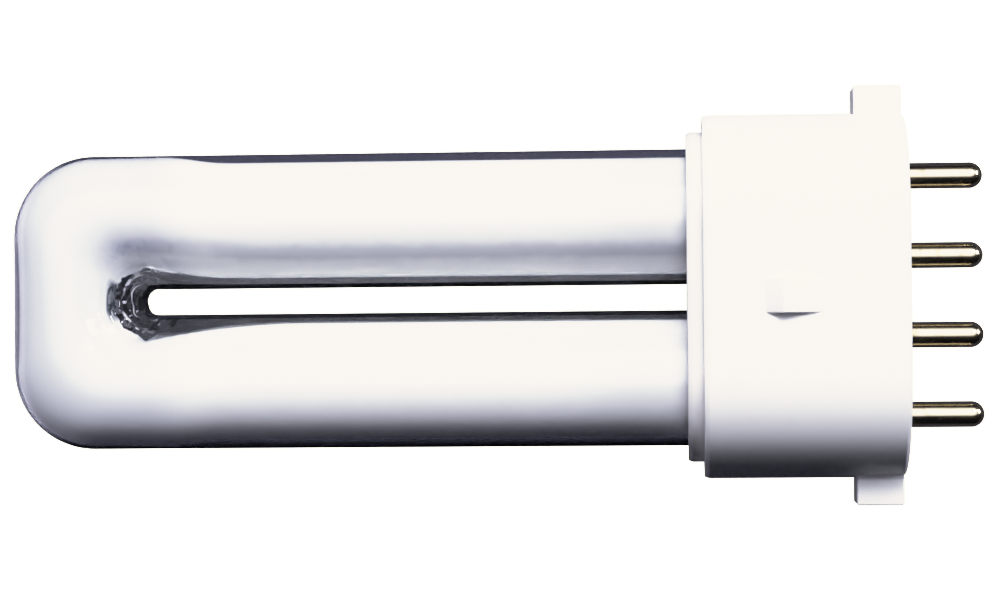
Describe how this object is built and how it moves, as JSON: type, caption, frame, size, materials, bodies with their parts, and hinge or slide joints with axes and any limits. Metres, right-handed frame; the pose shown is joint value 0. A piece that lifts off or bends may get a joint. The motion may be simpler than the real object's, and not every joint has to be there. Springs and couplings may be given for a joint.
{
  "type": "compact fluorescent tube",
  "caption": "Compact U-bent fluorescent tube with a squared bend, cemented into a flat white plug-in base with brass contact pins in a row.",
  "frame": {"origin": "centre of the pin face, where the base seats in its lampholder", "axes": "+X along the lamp, out of the pin face; +Y across the two legs and the row of pins; +Z out of a flat side of the base"},
  "size_m": [0.0862, 0.0366, 0.0208],
  "materials": {
    "coated_glass": "clear blown glass over a white powder coat",
    "white_plastic": "moulded, satin gloss",
    "pin_brass": "polished",
    "lead_metal": "drawn wire",
    "cement": "matte"
  },
  "bodies": {
    "root": {"discharge_tube": "coated_glass", "base_housing": "white_plastic", "tube_holder": "white_plastic", "cement_ring_1": "cement", "cement_ring_2": "cement", "contact_pin_1": "pin_brass", "contact_pin_2": "pin_brass", "contact_pin_3": "pin_brass", "contact_pin_4": "pin_brass", "lead_wire_1": "lead_metal", "lead_wire_2": "lead_metal", "lead_wire_3": "lead_metal", "lead_wire_4": "lead_metal"}
  },
  "joints": []
}
